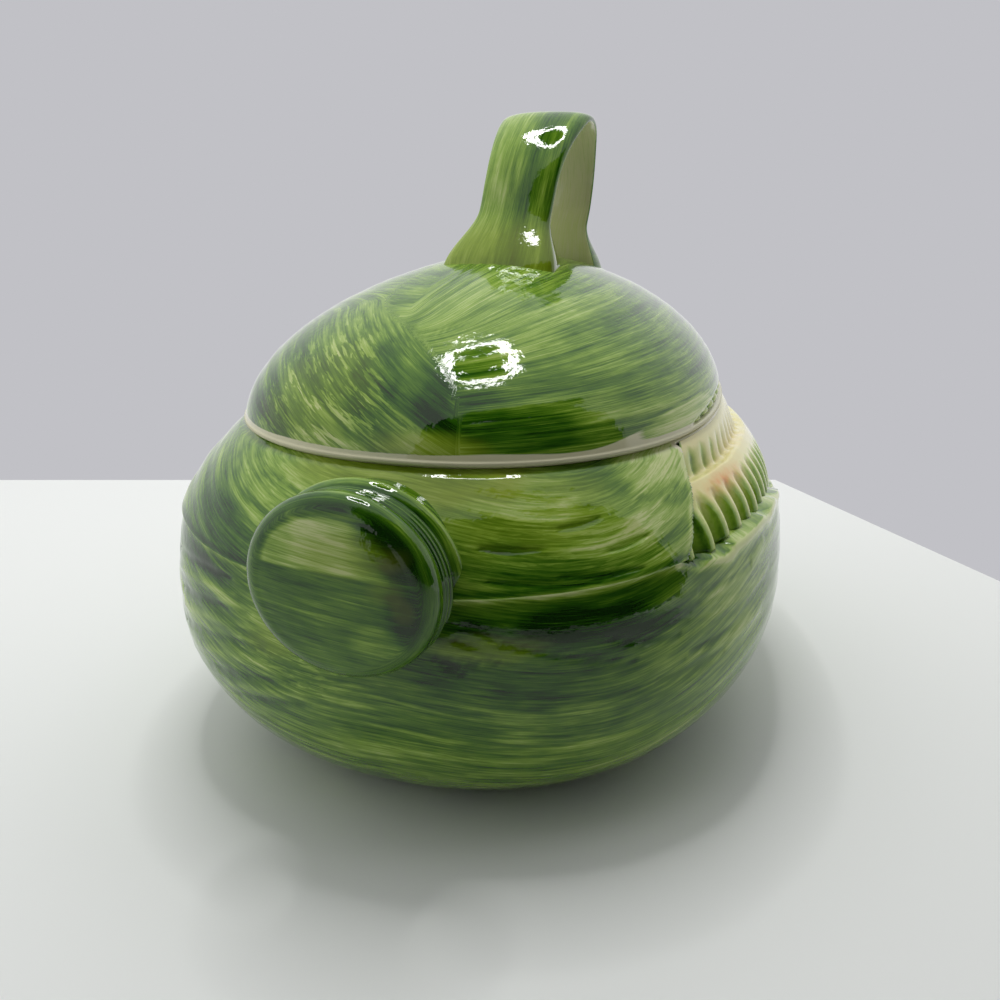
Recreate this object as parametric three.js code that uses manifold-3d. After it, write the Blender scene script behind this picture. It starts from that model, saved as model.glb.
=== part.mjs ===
// A lidded earthenware tureen in the shape of an ear of corn lying in its husk.
// Millimetres. X runs along the ear from the cut stalk to the tip, Z is up and the table is z = 0.

import * as THREE from 'three';
import { mergeVertices } from 'three/addons/utils/BufferGeometryUtils.js';
import Module from 'manifold-3d';

const wasm = await Module();
wasm.setup();

// Plan of the ear, seen from above
const bowlLength = 260;
const bowlWidth = 200;
const planSquareness = 2.155;
const tipTaper = 0.139;

// Bowl
const rimHeight = 106.5;
const bellyHeight = 49.4;
const footInset = 45.8;
const footRoundness = 1.84;
const shoulderInset = 23.7;
const shoulderRoundness = 3.07;
const bowlWall = 8.5;
const floorThickness = 7;
const footLand = 9;
const footRecess = 2.5;
const rimEdge = 1.6;
const rimLand = 6;

// Husk leaves: the upper ones lap over the lower ones along an edge that dips towards the tip
const leafEdgeHeight = 77.5;
const leafEdgeRise = 6.5;
const leafDip = 13;
const leafDipPlace = 0.04;
const leafDipSpread = 0.09;
const leafStep = 1.3;
const leafLap = 0.9;

// Openings in the bowl's husk, which reach nearer to the tip than to the stalk
const windowLengthLow = 180;
const windowLengthHigh = 122;
const windowCentre = 6;
const windowEndCurve = 1.3;
const windowDepth = 6.6;
const windowTopGap = 0.6;

// How far past the husk the tools that cut its openings reach
const roomReach = 6;

// Cob in those openings: long kernels hung from a smooth crest, and a row of short ones above
const cobDepth = 4.4;
const cobHollow = 1.2;
const kernelPitch = 8.6;
const kernelRise = 2.3;
const kernelFullness = 2.2;
const kernelHang = 0.12;
const creaseEnd = 0.85;
const crestEnd = 0.7;
const highKernelPitch = 10.8;
const highKernelRise = 0.8;
const columnsPerKernel = 3;

// Cut stalk
const stalkRadius = 25.4;
const stalkBroadness = 1.07;
const stalkReach = 8;
const stalkHeight = 83;
const stalkClimb = 0.165;
const stalkEdgeRound = 3.2;
const stalkCrown = 1.6;
const stalkCrownRing = 0.6;
const stalkGrooves = 4;
const stalkGrooveStart = 4.6;
const stalkGroovePitch = 2.9;
const stalkGrooveWidth = 1.74;
const stalkGrooveDepth = 0.7;
const stalkFlare = 1.6;
const stalkRootLength = 15.6;
const stalkRootRadius = 18;

// Lid
const lidRise = 47.8;
const domeFlatness = 1.9;
const domeRoundness = 1.6;
const lidWall = 5;
const lidEdgeBand = 1.6;
const lidEdgeRound = 0.7;
const lidEdgeProud = 0.5;
const flangeDepth = 8;
const flangeWall = 4;
const flangeClearance = 1.5;

// Openings in the lid's husk
const lidWindowLength = 94;
const lidWindowHeight = 4;
const lidWindowDepth = 2.6;
const lidWindowSill = 0.3;
const lidWindowEnd = 0.04;
const lidWindowFullness = 0.6;
const lidKernelRise = 1.3;
const lidCobDepth = 1.5;

// Loop handle
const loopRise = 46.6;
const loopSpan = 58;
const loopCentre = 21;
const loopOffset = -4;
const loopSway = -4;
const strapThickness = 6;
const strapWidth = 25;
const strapCrestWidth = 31.5;
const strapCrestSpread = 0.16;
const strapFootWidth = 33;
const strapFootThickness = 9;
const strapFootSharpness = 6;
const strapSquareness = 0.8;
const strapOutsideShare = 0.5;
const strapInsideShare = 0.3;

// Gap that the joining slip or glaze fills between pieces, and the one under the lid
const joint = 0.3;

// Mesh fineness
const turns = 48;
const wallRows = 6;
const domeRows = 9;
const windowColumns = 12;
const windowRows = 2;
const cobShares = [0, 0.07, 0.25, 0.48, 0.66, 0.73, 0.86, 1];
const lidKernelRows = 3;
const stalkSides = 28;
const stalkEdgeSteps = 3;
const strapSides = 10;
const strapSteps = 20;

const lidBase = rimHeight + joint;
const mouthInset = shoulderInset + rimEdge + rimLand;

// A closed body from rings of points, where a ring of one point is a pole
function loft(rings) {
  const points = [];
  const faces = [];
  const starts = [];
  for (const ring of rings) {
    starts.push(points.length / 3);
    ring.forEach((point) => points.push(...point));
  }
  for (let row = 0; row + 1 < rings.length; row++) {
    const low = rings[row].length;
    const high = rings[row + 1].length;
    const count = Math.max(low, high);
    for (let i = 0; i < count; i++) {
      const next = (i + 1) % count;
      const a = starts[row] + (low === 1 ? 0 : i);
      const b = starts[row] + (low === 1 ? 0 : next);
      const c = starts[row + 1] + (high === 1 ? 0 : next);
      const d = starts[row + 1] + (high === 1 ? 0 : i);
      if (low > 1) faces.push(a, b, c);
      if (high > 1) faces.push(a, c, d);
    }
  }
  return indexed(points, faces);
}

function indexed(points, faces) {
  const geometry = new THREE.BufferGeometry();
  geometry.setAttribute('position', new THREE.Float32BufferAttribute(points, 3));
  geometry.setIndex(faces);
  return geometry;
}

// A closed slab between two sheets of points, front and back, each given at (across, up) from 0 to 1
function slab(front, back, columns, rows) {
  const points = [];
  const faces = [];
  const width = columns + 1;
  const sheet = width * (rows + 1);
  for (const face of [front, back]) {
    for (let j = 0; j <= rows; j++) {
      for (let i = 0; i <= columns; i++) points.push(...face(i / columns, j / rows));
    }
  }
  const quad = (a, b, c, d) => faces.push(a, b, c, a, c, d);
  for (let j = 0; j < rows; j++) {
    for (let i = 0; i < columns; i++) {
      const a = j * width + i;
      quad(a, a + 1, a + width + 1, a + width);
      quad(sheet + a, sheet + a + width, sheet + a + width + 1, sheet + a + 1);
    }
    const left = j * width;
    const right = left + columns;
    quad(left, left + width, sheet + left + width, sheet + left);
    quad(right, sheet + right, sheet + right + width, right + width);
  }
  for (let i = 0; i < columns; i++) {
    const top = rows * width + i;
    quad(i, sheet + i, sheet + i + 1, i + 1);
    quad(top, top + 1, sheet + top + 1, sheet + top);
  }
  return indexed(points, faces);
}

function solid(geometry) {
  const bare = geometry.clone();
  bare.deleteAttribute('normal');
  bare.deleteAttribute('uv');
  const merged = mergeVertices(bare);
  const vertProperties = new Float32Array(merged.attributes.position.array);
  const triVerts = new Uint32Array(merged.index.array);
  return new wasm.Manifold(new wasm.Mesh({ numProp: 3, vertProperties, triVerts }));
}

function meshed(body) {
  const { vertProperties, triVerts } = body.getMesh();
  return indexed(Array.from(vertProperties), Array.from(triVerts));
}

// The same geometry on the other long side
function mirrored(geometry) {
  const other = geometry.clone().scale(1, -1, 1);
  const faces = other.index.array;
  for (let i = 0; i < faces.length; i += 3) [faces[i], faces[i + 1]] = [faces[i + 1], faces[i]];
  return other;
}

function blend(from, to, share) {
  return from + (to - from) * share;
}

// Plan outline drawn in from the widest one by inset, and shrunk towards the axis by share
function outline(angle, inset, share = 1) {
  const c = Math.cos(angle);
  const s = Math.sin(angle);
  const reach = (Math.abs(c) ** planSquareness + Math.abs(s) ** planSquareness) ** (-1 / planSquareness);
  const x = (bowlLength / 2 - inset) * share * reach * c;
  const y = (bowlWidth / 2 - inset) * share * reach * s * (1 - tipTaper * reach * c);
  return [x, y];
}

// Distance from the axis to the outline on the long side at a place along the ear
function sideReach(x, inset, share = 1) {
  const along = x / ((bowlLength / 2 - inset) * share);
  const across = Math.max(0, 1 - Math.abs(along) ** planSquareness) ** (1 / planSquareness);
  return (bowlWidth / 2 - inset) * share * across * (1 - tipTaper * along);
}

function planRing(place) {
  const ring = [];
  for (let i = 0; i < turns; i++) {
    const angle = (2 * Math.PI * i) / turns;
    const { inset, z, share = 1 } = place(angle);
    ring.push([...outline(angle, inset, share), z]);
  }
  return ring;
}

// How far the bowl's wall lies inside the widest outline at a height
function wallInset(z, bottom = 0) {
  if (z < bellyHeight) {
    const down = Math.min(1, (bellyHeight - z) / (bellyHeight - bottom));
    return footInset * (1 - (1 - down ** footRoundness) ** (1 / footRoundness));
  }
  const up = (z - bellyHeight) / (rimHeight - bellyHeight);
  return shoulderInset * up ** shoulderRoundness;
}

function leafEdge(angle) {
  const dipped = 1 / (1 + Math.exp((leafDipPlace - Math.cos(angle)) / leafDipSpread));
  return leafEdgeHeight + leafEdgeRise * Math.sin(angle) ** 2 - leafDip * dipped;
}

// Rings of the bowl's outside from the foot to the rim, grown outwards by grow
function outsideRings(grow) {
  const rings = [];
  for (let row = 0; row <= wallRows; row++) {
    const up = 1 - Math.cos((row / wallRows) * (Math.PI / 2));
    rings.push(planRing((angle) => {
      const z = leafEdge(angle) * up;
      return { inset: wallInset(z) - grow, z: row === 0 ? -grow : z };
    }));
  }
  const shoulderTop = rimHeight - rimEdge;
  for (let row = 0; row <= wallRows; row++) {
    const up = row / wallRows;
    rings.push(planRing((angle) => {
      const z = blend(leafEdge(angle) + leafLap, shoulderTop, up);
      return { inset: wallInset(z) - leafStep * (1 - up) - grow, z };
    }));
  }
  rings.push(planRing(() => ({ inset: shoulderInset + rimEdge - grow, z: rimHeight + grow })));
  return rings;
}

function wallSlope(z) {
  const step = 0.01;
  return (wallInset(z + step) - wallInset(z - step)) / (2 * step);
}

// The bowl's inside follows the outside one wall further in, down to the floor
function insideRings() {
  const rings = [planRing(() => ({ inset: mouthInset, z: rimHeight }))];
  const shoulderTop = rimHeight - rimEdge;
  for (let row = 0; row <= wallRows; row++) {
    const outer = blend(shoulderTop, bellyHeight, row / wallRows);
    const across = bowlWall / Math.hypot(1, wallSlope(outer));
    const inset = Math.min(wallInset(outer) + across, mouthInset);
    rings.push(planRing(() => ({ inset, z: outer - across * wallSlope(outer) })));
  }
  for (let row = 1; row < wallRows; row++) {
    const down = Math.sin((row / wallRows) * (Math.PI / 2));
    const z = blend(bellyHeight, floorThickness, down);
    rings.push(planRing(() => ({ inset: wallInset(z, floorThickness) + bowlWall, z })));
  }
  const floorInset = footInset + bowlWall;
  rings.push(planRing(() => ({ inset: floorInset, z: floorThickness })));
  rings.push([[0, 0, floorThickness]]);
  return rings;
}

function footRings() {
  return [
    [[0, 0, footRecess]],
    planRing(() => ({ inset: footInset + footLand + footRecess, z: footRecess })),
    planRing(() => ({ inset: footInset + footLand, z: 0 })),
  ];
}

// The outside alone, closed above and below, for cutting what is stuck onto the bowl
function bowlEnvelope(grow) {
  return solid(loft([[[0, 0, -grow]], ...outsideRings(grow), [[0, 0, rimHeight + grow]]]));
}

// A point on the bowl's right wall, moved out square to it
function wallPoint(x, z, out) {
  const slope = wallSlope(z);
  const across = out / Math.hypot(1, slope);
  return [x, -sideReach(x, wallInset(z) - across), z + across * slope];
}

// Height of a place at a share of the way from the lower leaf's edge up to the opening's top
function windowHeight(x, up, margin) {
  const along = x / (bowlLength / 2);
  const reach = sideReach(x, 0) / (bowlWidth / 2);
  const low = leafEdge(Math.atan2(reach, along)) + margin;
  return blend(low, rimHeight - windowTopGap - margin, up);
}

// A place in the bowl's right window: across from the stalk end, up from the lower leaf's edge
function windowPlace(across, up, margin) {
  const halfLength = blend(windowLengthLow, windowLengthHigh, up ** windowEndCurve) / 2 - margin;
  const x = windowCentre + blend(-halfLength, halfLength, across);
  return [x, windowHeight(x, up, margin)];
}

// The room of the bowl's window, from its floor out past the husk
function windowRoom(margin) {
  const front = (across, up) => wallPoint(...windowPlace(across, up, margin), roomReach);
  const back = (across, up) => wallPoint(...windowPlace(across, up, margin), margin - windowDepth);
  return solid(slab(front, back, windowColumns, windowRows));
}

// How full a kernel is at a place along its row, from 0 in a crease to 1 on its middle
function fullness(along, pitch) {
  const share = along / pitch;
  const offMiddle = Math.abs(2 * (share - Math.floor(share)) - 1);
  return 1 - offMiddle ** kernelFullness;
}

// Height of a row over the cob at a share of the way up the row: its creases fade out towards its top
function rowHeight(along, share, pitch, rise) {
  const crease = Math.max(0, 1 - (share / creaseEnd) ** 2);
  const hang = Math.sqrt(Math.min(1, share / kernelHang));
  return rise * hang * (1 - crease * (1 - fullness(along, pitch)));
}

// How far the cob and its kernels lie out from the husk's surface at a place in the opening
function cornSurface(x, up) {
  const along = x - windowCentre;
  const middle = Math.max(0, 1 - ((2 * along) / windowLengthLow) ** 2);
  const depth = cobDepth + cobHollow * middle;
  if (up > crestEnd) {
    return rowHeight(along, (up - crestEnd) / (1 - crestEnd), highKernelPitch, highKernelRise) - depth;
  }
  return rowHeight(along, up / crestEnd, kernelPitch, kernelRise) - depth;
}

function bowlKernels() {
  const margin = joint;
  const count = 2 * Math.ceil(windowLengthLow / kernelPitch / 2);
  const halfLength = (count * kernelPitch) / 2;
  const rows = cobShares.length - 1;
  const place = (across, share) => {
    const up = cobShares[Math.round(share * rows)];
    const x = windowCentre + blend(-halfLength, halfLength, across);
    return [x, windowHeight(x, up, margin), up];
  };
  const front = (across, share) => {
    const [x, z, up] = place(across, share);
    return wallPoint(x, z, cornSurface(x, up));
  };
  const back = (across, share) => {
    const [x, z] = place(across, share);
    return wallPoint(x, z, margin - windowDepth);
  };
  const cob = solid(slab(front, back, count * columnsPerKernel, rows));
  return meshed(cob.intersect(windowRoom(margin)));
}

function bowl() {
  const blank = solid(loft([...footRings(), ...outsideRings(0), ...insideRings()]));
  const room = meshed(windowRoom(0));
  return meshed(blank.subtract(solid(room)).subtract(solid(mirrored(room))));
}

// The stalk climbs towards its face, which is cut upright, with grooves turned round it
function stalkStub() {
  const faceX = -(bowlLength / 2 + stalkReach);
  const flatRadius = stalkRadius - stalkEdgeRound;
  const profile = [0, stalkCrownRing, 1].map((share) => [flatRadius * share, -stalkCrown * (1 - share ** 2)]);
  for (let step = 1; step <= stalkEdgeSteps; step++) {
    const angle = (step / stalkEdgeSteps) * (Math.PI / 2);
    const out = stalkEdgeRound * Math.sin(angle);
    profile.push([flatRadius + out, stalkEdgeRound * (1 - Math.cos(angle))]);
  }
  for (let i = 0; i < stalkGrooves; i++) {
    const depth = stalkGrooveStart + i * stalkGroovePitch;
    profile.push([stalkRadius, depth], [stalkRadius - stalkGrooveDepth, depth + stalkGrooveWidth / 2]);
    profile.push([stalkRadius, depth + stalkGrooveWidth]);
  }
  const ringEnd = stalkGrooveStart + stalkGrooves * stalkGroovePitch;
  profile.push([stalkRadius + stalkFlare, ringEnd + stalkGroovePitch / 2]);
  profile.push([stalkRadius, ringEnd + stalkRootLength / 2]);
  profile.push([stalkRootRadius, ringEnd + stalkRootLength], [0, ringEnd + stalkRootLength]);
  const points = profile.map(([radius, depth]) => new THREE.Vector2(radius, -depth)).reverse();
  const turned = new THREE.LatheGeometry(points, stalkSides).rotateZ(Math.PI / 2);
  const climb = new THREE.Matrix4().makeShear(0, -stalkClimb, 0, 0, 0, 0);
  const placed = turned.scale(1, stalkBroadness, 1).applyMatrix4(climb).translate(faceX, 0, stalkHeight);
  return meshed(solid(placed).subtract(bowlEnvelope(joint)));
}

function domeShare(up) {
  return (1 - up ** domeFlatness) ** (1 / domeRoundness);
}

// Rings of the lid's outside from its edge to the top, grown outwards by grow
function domeRings(grow) {
  const rings = [];
  for (let row = 1; row < domeRows; row++) {
    const up = Math.sin((row / domeRows) * (Math.PI / 2));
    const z = lidBase + lidRise * up + grow;
    rings.push(planRing(() => ({ inset: shoulderInset - grow, z, share: domeShare(up) })));
  }
  rings.push([[0, 0, lidBase + lidRise + grow]]);
  return rings;
}

function lidEnvelope(grow) {
  const base = planRing(() => ({ inset: shoulderInset - grow, z: lidBase }));
  return solid(loft([[[0, 0, lidBase]], base, ...domeRings(grow)]));
}

// Rings under the lid, from the middle of the hollow out over the flange to the lid's edge
function lidHollowRings() {
  const flangeInset = mouthInset + flangeClearance;
  const hollowInset = shoulderInset + lidWall;
  const hollowRise = lidRise - lidWall;
  const rings = [[[0, 0, lidBase + hollowRise]]];
  for (let row = domeRows - 2; row > 1; row--) {
    const up = Math.sin((row / domeRows) * (Math.PI / 2));
    const z = lidBase + hollowRise * up;
    rings.push(planRing(() => ({ inset: hollowInset, z, share: domeShare(up) })));
  }
  rings.push(planRing(() => ({ inset: flangeInset + flangeWall / 2, z: lidBase + flangeWall })));
  rings.push(planRing(() => ({ inset: flangeInset + flangeWall, z: lidBase - flangeDepth })));
  rings.push(planRing(() => ({ inset: flangeInset, z: lidBase - flangeDepth })));
  rings.push(planRing(() => ({ inset: flangeInset, z: lidBase })));
  return rings;
}

function lidEdgeRings() {
  return [
    planRing(() => ({ inset: shoulderInset + lidEdgeRound, z: lidBase })),
    planRing(() => ({ inset: shoulderInset - lidEdgeProud, z: lidBase + lidEdgeRound })),
    planRing(() => ({ inset: shoulderInset - lidEdgeProud, z: lidBase + lidEdgeBand })),
  ];
}

// A point on the lid's right side at a height, moved straight out
function domePoint(x, z, out) {
  const share = domeShare(Math.max(0, z - lidBase) / lidRise);
  return [x, -sideReach(x, shoulderInset, share) - out, z];
}

// The lid's window is a low arch that starts and ends in points at the edge band
function lidWindowPlace(across, up, margin) {
  const x = blend(-1, 1, across) * (lidWindowLength / 2 - 2 * margin);
  const arch = Math.max(lidWindowEnd, Math.sin(Math.PI * across)) ** lidWindowFullness;
  const low = lidBase + lidEdgeBand + lidWindowSill;
  return [x, blend(low + margin, low + lidWindowHeight * arch - margin, up)];
}

function lidWindowRoom(margin) {
  const front = (across, up) => domePoint(...lidWindowPlace(across, up, margin), roomReach);
  const back = (across, up) => domePoint(...lidWindowPlace(across, up, margin), margin - lidWindowDepth);
  return solid(slab(front, back, windowColumns, 1));
}

function lidKernels() {
  const margin = joint / 2;
  const columns = Math.floor(lidWindowLength / kernelPitch) * columnsPerKernel;
  const front = (across, up) => {
    const [x, z] = lidWindowPlace(across, up, margin);
    const rise = lidKernelRise * fullness(x, kernelPitch) * Math.sin(Math.PI * up);
    return domePoint(x, z, rise - lidCobDepth);
  };
  const back = (across, up) => domePoint(...lidWindowPlace(across, up, margin), margin - lidWindowDepth);
  return slab(front, back, columns, lidKernelRows);
}

function lid() {
  const blank = solid(loft([...lidHollowRings(), ...lidEdgeRings(), ...domeRings(0)]));
  const room = meshed(lidWindowRoom(0));
  return meshed(blank.subtract(solid(room)).subtract(solid(mirrored(room))));
}

// The strap's middle line in shares of half the span and of the rise, foot to foot
function loopPath() {
  const shares = [
    [-1.5, -0.24], [-1.22, 0.14], [-1.05, 0.34], [-0.93, 0.53], [-0.76, 0.7],
    [-0.45, 0.87], [0.03, 1], [0.53, 0.94], [0.84, 0.76], [1, 0.54], [0.98, 0.31],
    [0.8, 0.1], [0.74, -0.28],
  ];
  const top = lidBase + lidRise;
  const rise = loopRise - strapThickness / 2;
  const points = shares.map(([along, up]) => new THREE.Vector3(
    loopCentre + (along * (loopSpan - strapThickness)) / 2,
    loopOffset + up * loopSway,
    top + up * rise,
  ));
  return new THREE.CatmullRomCurve3(points, false, 'centripetal');
}

function squared(value) {
  return Math.sign(value) * Math.abs(value) ** strapSquareness;
}

// The strap swells at its crest and flares at both feet, and is rounder outside than inside
function strapSection(curve, along) {
  const centre = curve.getPointAt(along);
  const ahead = curve.getTangentAt(along);
  const out = new THREE.Vector3(-ahead.z, 0, ahead.x);
  const foot = Math.abs(2 * along - 1) ** strapFootSharpness;
  const crest = Math.exp(-(((along - 0.5) / strapCrestSpread) ** 2));
  const width = strapWidth + (strapCrestWidth - strapWidth) * crest + (strapFootWidth - strapWidth) * foot;
  const thickness = blend(strapThickness, strapFootThickness, foot);
  const ring = [];
  for (let i = 0; i < strapSides; i++) {
    const angle = (2 * Math.PI * i) / strapSides;
    const across = (width / 2) * squared(Math.cos(angle));
    const share = Math.sin(angle) > 0 ? strapOutsideShare : strapInsideShare;
    const up = thickness * share * squared(Math.sin(angle));
    const point = centre.clone().addScaledVector(out, up);
    ring.push([point.x, point.y + across, point.z]);
  }
  return { ring, centre: centre.toArray() };
}

function loopHandle() {
  const curve = loopPath();
  const sections = Array.from({ length: strapSteps + 1 }, (_, i) => strapSection(curve, i / strapSteps));
  const ends = [[sections[0].centre], [sections.at(-1).centre]];
  const strap = loft([ends[0], ...sections.map((section) => section.ring), ends[1]]);
  return meshed(solid(strap).subtract(lidEnvelope(joint)));
}

function glazed(color, roughness = 0.2) {
  return new THREE.MeshStandardMaterial({ color, roughness, metalness: 0 });
}

function piece(name, geometry, material) {
  const mesh = new THREE.Mesh(geometry, material);
  mesh.name = name;
  return mesh;
}

const huskGreen = 0x4f7a2c;
const stalkGreen = 0x3f6b33;
const cornCream = 0xd9d79a;

const bowlGroup = new THREE.Group();
const rightKernels = bowlKernels();
bowlGroup.add(
  piece('bowl', bowl(), glazed(huskGreen)),
  piece('stalk_stub', stalkStub(), glazed(stalkGreen)),
  piece('bowl_kernels_right', rightKernels, glazed(cornCream)),
  piece('bowl_kernels_left', mirrored(rightKernels), glazed(cornCream)),
);

const lidGroup = new THREE.Group();
const rightLidKernels = lidKernels();
lidGroup.add(
  piece('lid', lid(), glazed(huskGreen)),
  piece('lid_kernels_right', rightLidKernels, glazed(cornCream)),
  piece('lid_kernels_left', mirrored(rightLidKernels), glazed(cornCream)),
  piece('loop_handle', loopHandle(), glazed(huskGreen)),
);

// The stalk's crown and the plain tip are equally far from the origin
const tureen = new THREE.Group();
tureen.add(bowlGroup, lidGroup);
const extent = new THREE.Box3().setFromObject(tureen);
tureen.position.x = -(extent.min.x + extent.max.x) / 2;

export default tureen;
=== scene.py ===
"""A lidded corn tureen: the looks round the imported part. Shapes are in millimetres in the plan's frame,
as in the part's source, and make() turns them into metres in the row frame."""

import math

import bpy
import mathutils
import numpy as np
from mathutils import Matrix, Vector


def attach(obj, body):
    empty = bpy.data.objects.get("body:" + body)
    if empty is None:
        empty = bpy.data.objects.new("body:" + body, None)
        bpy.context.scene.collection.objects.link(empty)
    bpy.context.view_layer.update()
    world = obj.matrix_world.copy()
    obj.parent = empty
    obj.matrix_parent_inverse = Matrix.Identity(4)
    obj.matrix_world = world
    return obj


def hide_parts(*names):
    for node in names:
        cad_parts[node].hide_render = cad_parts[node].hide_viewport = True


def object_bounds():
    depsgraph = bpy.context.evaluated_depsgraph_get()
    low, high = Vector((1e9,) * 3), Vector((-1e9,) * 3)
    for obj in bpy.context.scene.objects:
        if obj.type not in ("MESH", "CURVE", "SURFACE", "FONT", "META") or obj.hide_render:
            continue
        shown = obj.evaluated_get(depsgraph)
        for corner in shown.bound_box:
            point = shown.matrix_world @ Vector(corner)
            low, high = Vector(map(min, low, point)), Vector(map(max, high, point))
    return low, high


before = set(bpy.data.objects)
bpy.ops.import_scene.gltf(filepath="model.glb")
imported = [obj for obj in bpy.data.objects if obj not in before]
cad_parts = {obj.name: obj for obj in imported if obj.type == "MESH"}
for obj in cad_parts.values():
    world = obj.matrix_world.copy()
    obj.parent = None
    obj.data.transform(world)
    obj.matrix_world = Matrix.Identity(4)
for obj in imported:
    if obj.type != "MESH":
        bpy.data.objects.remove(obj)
cad_box = [list(corner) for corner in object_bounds()]

MM = 0.001

# Plan of the ear, seen from above
BOWL_LENGTH = 260
BOWL_WIDTH = 200
PLAN_SQUARENESS = 2.155
TIP_TAPER = 0.139

# Bowl
RIM_HEIGHT = 106.5
BELLY_HEIGHT = 49.4
FOOT_INSET = 45.8
FOOT_ROUNDNESS = 1.84
SHOULDER_INSET = 23.7
SHOULDER_ROUNDNESS = 3.07
BOWL_WALL = 8.5
FLOOR_THICKNESS = 7
FOOT_LAND = 9
FOOT_RECESS = 2.5
RIM_EDGE = 1.6
RIM_LAND = 6
WALL_TOP = RIM_HEIGHT - RIM_EDGE
MOUTH_BEVEL = 1
MOUTH_DROP = 0.6

# Husk leaves
LEAF_EDGE_HEIGHT = 77.5
LEAF_EDGE_RISE = 6.5
LEAF_DIP = 13
LEAF_DIP_PLACE = 0.04
LEAF_DIP_SPREAD = 0.09
LEAF_STEP = 1.3
LEAF_LAP = 0.9

# Relief of the husk, which is set back to keep its ridges close to the part's own surface
HUSK_SINK = 0.4
CUT_DEPTH = 0.5
CUT_WIDTH = 0.9
RIDGE_RISE = 0.4
RIDGE_WIDTH = 1.3
LIP_RISE = 0.8
LIP_DROP = 1.6
LIP_WAVE = 1.8
LIP_WAVE_LENGTH = 7

# Openings in the bowl's husk. A slanting limit keeps their hollows out of the bowl's inside.
WINDOW_LENGTH_LOW = 185
WINDOW_LENGTH_HIGH = 122
WINDOW_CENTRE = 4.5
WINDOW_END_CURVE = 1.3
WINDOW_DEPTH = 7.4
WINDOW_SLANT = 0.7
WINDOW_TOP_GAP = 0.1
WINDOW_TOP = RIM_HEIGHT - WINDOW_TOP_GAP
WINDOW_MARGIN = 0.1

# Cob and kernels
COB_DEPTH = 5.0
COB_HOLLOW = 1.2
KERNEL_PITCH = 9.2
KERNEL_RISE = 4.3
KERNEL_WAIST = 0.78
KERNEL_FULLNESS = 2.2
KERNEL_HANG = 0.07
CREASE_END = 0.8
CREST_END = 0.7
CREST_ROUND = 0.035
HIGH_KERNEL_PITCH = 8.4
HIGH_KERNEL_RISE = 1.2
CORN_TOP_START = 0.72
CORN_TOP_REACH = 4.2
FAR_END_SINK = 3

# Cut stalk: depths are measured from its face
STALK_RADIUS = 25.4
STALK_BROADNESS = 1.07
STALK_FLARE = 1.6
STALK_FLARE_DEPTH = 17.5
STALK_FLARE_SPREAD = 2.2
STALK_REACH = 8
STALK_LENGTH = 34
STALK_HEIGHT = 83
STALK_CLIMB = 0.165
STALK_EDGE_ROUND = 5.5
STALK_CROWN = 1.6
STALK_CROWN_FLATNESS = 2.6
STALK_GROOVES = (7.4, 9.6, 11.8, 14.1)
STALK_GROOVE_DEPTH = 0.7
STALK_GROOVE_SPREAD = 0.75

# Lid
JOINT = 0.3
LID_BASE = RIM_HEIGHT + JOINT
LID_RISE = 47.8
DOME_FLATNESS = 1.9
DOME_ROUNDNESS = 1.6
LID_WALL = 5
LID_RELIEF = 0.3
LID_EDGE_BAND = 1.6
LID_EDGE_PROUD = 0.5
LID_EDGE_ROUND = 0.7
FLANGE_DEPTH = 8
FLANGE_WALL = 4
FLANGE_CLEARANCE = 1.5
LID_WINDOW_LENGTH = 94
LID_WINDOW_HEIGHT = 4
LID_WINDOW_DEPTH = 2.6
LID_WINDOW_SILL = 0.3
LID_WINDOW_LOW = LID_BASE + LID_EDGE_BAND + LID_WINDOW_SILL
LID_WINDOW_END = 0.04
LID_WINDOW_FULLNESS = 0.6
LID_KERNEL_RISE = 1.3
LID_COB_DEPTH = 1.5
MOUTH_INSET = SHOULDER_INSET + RIM_EDGE + RIM_LAND

# Loop handle, a little lower than the part's, so that its outside stays within the part's
LOOP_RISE = 46.6
LOOP_LOWER = 0.2
LOOP_SPAN = 58
LOOP_CENTRE = 21
LOOP_OFFSET = -4
LOOP_SWAY = -4
STRAP_LENGTH = 170
STRAP_THICKNESS = 6
STRAP_WIDTH = 25
STRAP_CREST_WIDTH = 31.5
STRAP_CREST_SPREAD = 0.16
STRAP_FOOT_WIDTH = 33
STRAP_FOOT_THICKNESS = 9
STRAP_FOOT_SHARPNESS = 6
STRAP_SQUARENESS = 0.8
STRAP_OUTSIDE_SHARE = 0.5
STRAP_INSIDE_SHARE = 0.3
FOOT_FLARE = 4.5
FOOT_FLARE_HEIGHT = 15

# The row frame's origin is under the middle of the whole length, the plan's under the middle of the bowl
PLAN_SHIFT = cad_box[0][0] / MM + BOWL_LENGTH / 2 + STALK_REACH + STALK_CROWN

# Mesh fineness. Columns crowd at the openings' ends, and rows at the leaf's edge and the lid's edge.
COLUMNS = 620
CROWD_PLACE = 76
CROWD_SPREAD = 19
CROWDING = 2.6
LOW_ROWS = 64
LOW_ROW_CROWDING = 1.5
STEP_ROWS = 4
HIGH_ROWS = 52
RIM_ROWS = 4
INSIDE_ROWS = 14
DOME_ROWS = 96
DOME_ROW_CROWDING = 1.15
KERNEL_COLUMNS = 560
KERNEL_ROWS = 84
LID_KERNEL_COLUMNS = 300
LID_KERNEL_ROWS = 24
STALK_SIDES = 300
STRAP_SIDES = 64
STRAP_STEPS = 150
LAMP_SIDES = 64


def blend(start, end, share):
    return start + (end - start) * share


def smooth(low, high, value):
    """0 at low, 1 at high and a soft step between."""
    share = np.clip((value - low) / (high - low), 0, 1)
    return share * share * (3 - 2 * share)


def hill(distance, width):
    return np.exp(-((distance / width) ** 2))


def axes(points):
    return points[..., 0], points[..., 1], points[..., 2]


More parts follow.
